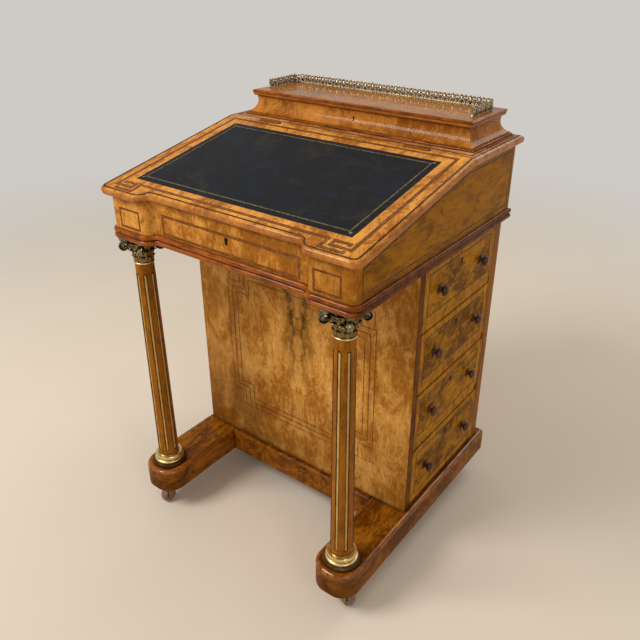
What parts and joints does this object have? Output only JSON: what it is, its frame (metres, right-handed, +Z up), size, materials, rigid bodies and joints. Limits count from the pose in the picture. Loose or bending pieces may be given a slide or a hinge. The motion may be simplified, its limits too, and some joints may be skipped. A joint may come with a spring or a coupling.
{
  "type": "davenport desk",
  "caption": "Small writing desk with a sloped leather-lined lid, a hinged stationery box with a pierced gallery, side drawers, fluted front columns and sledge runners on castors.",
  "frame": {"origin": "on the floor, under the middle of the desk's outline", "axes": "+Z up, +Y to the back (the side with the stationery box), +X to the right of the person writing, where the working drawers are"},
  "size_m": [0.564, 0.537, 0.8444],
  "materials": {
    "runner_walnut": "polished",
    "column_walnut": "polished",
    "gilt_brass": "patinated gilt",
    "castor_brass": "aged",
    "castor_wheel": "glazed",
    "burr_walnut": "polished",
    "side_walnut": "polished",
    "back_walnut": "polished",
    "moulding_walnut": "polished",
    "carcass_wood": "satin",
    "drawer_lining": "waxed",
    "knob_wood": "polished",
    "writing_leather": "satin",
    "gallery_brass": "aged",
    "hinge_brass": "satin"
  },
  "bodies": {
    "desk": {"right_runner": "runner_walnut", "left_runner": "runner_walnut", "plinth_rails": "runner_walnut", "castor_plates": "castor_brass", "right_column_base": "gilt_brass", "left_column_base": "gilt_brass", "right_column": "column_walnut", "left_column": "column_walnut", "right_capital": "gilt_brass", "left_capital": "gilt_brass", "front_panel": "burr_walnut", "back_panel": "back_walnut", "left_panel": "side_walnut", "rear_lining": "side_walnut", "pedestal_floor": "carcass_wood", "drawer_dividers": "carcass_wood", "dummy_drawer_fronts": "side_walnut", "dummy_knobs": "knob_wood", "desk_bottom": "carcass_wood", "front_frieze": "burr_walnut", "right_cheek": "side_walnut", "left_cheek": "side_walnut", "desk_back": "back_walnut", "desk_moulding": "moulding_walnut", "desk_lock": "hinge_brass", "desk_top": "burr_walnut", "slope_hinge_fixed_leaves": "hinge_brass", "stationery_walls": "burr_walnut", "stationery_tray": "carcass_wood", "tray_dividers": "carcass_wood", "stationery_hinge_fixed_leaves": "hinge_brass", "interior_nest": "carcass_wood"},
    "writing_lid": {"slope_lid": "burr_walnut", "writing_leather": "writing_leather", "slope_hinge_moving_leaves": "hinge_brass"},
    "stationery_cover": {"stationery_lid": "burr_walnut", "gallery": "gallery_brass", "stationery_hinge_moving_leaves": "hinge_brass"},
    "interior_drawer_right": {"interior_drawer_right": "carcass_wood"},
    "interior_drawer_left": {"interior_drawer_left": "carcass_wood"},
    "drawer_1": {"drawer_1_front": "side_walnut", "drawer_1_box": "drawer_lining", "drawer_1_knobs": "knob_wood"},
    "drawer_2": {"drawer_2_front": "side_walnut", "drawer_2_box": "drawer_lining", "drawer_2_knobs": "knob_wood"},
    "drawer_3": {"drawer_3_front": "side_walnut", "drawer_3_box": "drawer_lining", "drawer_3_knobs": "knob_wood"},
    "drawer_4": {"drawer_4_front": "side_walnut", "drawer_4_box": "drawer_lining", "drawer_4_knobs": "knob_wood"},
    "castor_front_left_swivel": {"castor_front_left_fork": "castor_brass"},
    "castor_front_left_roller": {"castor_front_left_wheel": "castor_wheel"},
    "castor_front_right_swivel": {"castor_front_right_fork": "castor_brass"},
    "castor_front_right_roller": {"castor_front_right_wheel": "castor_wheel"},
    "castor_rear_left_swivel": {"castor_rear_left_fork": "castor_brass"},
    "castor_rear_left_roller": {"castor_rear_left_wheel": "castor_wheel"},
    "castor_rear_right_swivel": {"castor_rear_right_fork": "castor_brass"},
    "castor_rear_right_roller": {"castor_rear_right_wheel": "castor_wheel"}
  },
  "joints": [
    {"name": "writing_lid_hinge", "type": "hinge", "parent": "desk", "child": "writing_lid", "pos_m": [0, 0.069, 0.77755], "axis": [-1, 0, 0], "range_deg": [0, 100]},
    {"name": "stationery_lid_hinge", "type": "hinge", "parent": "desk", "child": "stationery_cover", "pos_m": [0, 0.245, 0.8132], "axis": [-1, 0, 0], "range_deg": [0, 95]},
    {"name": "drawer_1_slide", "type": "slide", "parent": "desk", "child": "drawer_1", "axis": [1, 0, 0], "range_m": [0, 0.3]},
    {"name": "drawer_2_slide", "type": "slide", "parent": "desk", "child": "drawer_2", "axis": [1, 0, 0], "range_m": [0, 0.3]},
    {"name": "drawer_3_slide", "type": "slide", "parent": "desk", "child": "drawer_3", "axis": [1, 0, 0], "range_m": [0, 0.3]},
    {"name": "drawer_4_slide", "type": "slide", "parent": "desk", "child": "drawer_4", "axis": [1, 0, 0], "range_m": [0, 0.3]},
    {"name": "interior_drawer_right_slide", "type": "slide", "parent": "desk", "child": "interior_drawer_right", "axis": [0, -1, 0], "range_m": [0, 0.12]},
    {"name": "interior_drawer_left_slide", "type": "slide", "parent": "desk", "child": "interior_drawer_left", "axis": [0, -1, 0], "range_m": [0, 0.12]},
    {"name": "castor_front_left_swivel", "type": "hinge", "parent": "desk", "child": "castor_front_left_swivel", "pos_m": [-0.227, -0.2245, 0.051], "axis": [0, 0, 1], "continuous": true},
    {"name": "castor_front_left_spin", "type": "hinge", "parent": "castor_front_left_swivel", "child": "castor_front_left_roller", "pos_m": [-0.227, -0.2405, 0.017], "axis": [1, 0, 0], "continuous": true},
    {"name": "castor_front_right_swivel", "type": "hinge", "parent": "desk", "child": "castor_front_right_swivel", "pos_m": [0.227, -0.2245, 0.051], "axis": [0, 0, 1], "continuous": true},
    {"name": "castor_front_right_spin", "type": "hinge", "parent": "castor_front_right_swivel", "child": "castor_front_right_roller", "pos_m": [0.24276, -0.22728, 0.017], "axis": [0.1736, 0.9848, 0], "continuous": true},
    {"name": "castor_rear_left_swivel", "type": "hinge", "parent": "desk", "child": "castor_rear_left_swivel", "pos_m": [-0.227, 0.225, 0.051], "axis": [0, 0, 1], "continuous": true},
    {"name": "castor_rear_left_spin", "type": "hinge", "parent": "castor_rear_left_swivel", "child": "castor_rear_left_roller", "pos_m": [-0.219, 0.23886, 0.017], "axis": [-0.866, 0.5, 0], "continuous": true},
    {"name": "castor_rear_right_swivel", "type": "hinge", "parent": "desk", "child": "castor_rear_right_swivel", "pos_m": [0.227, 0.225, 0.051], "axis": [0, 0, 1], "continuous": true},
    {"name": "castor_rear_right_spin", "type": "hinge", "parent": "castor_rear_right_swivel", "child": "castor_rear_right_roller", "pos_m": [0.22153, 0.20997, 0.017], "axis": [0.9397, -0.342, 0], "continuous": true}
  ]
}
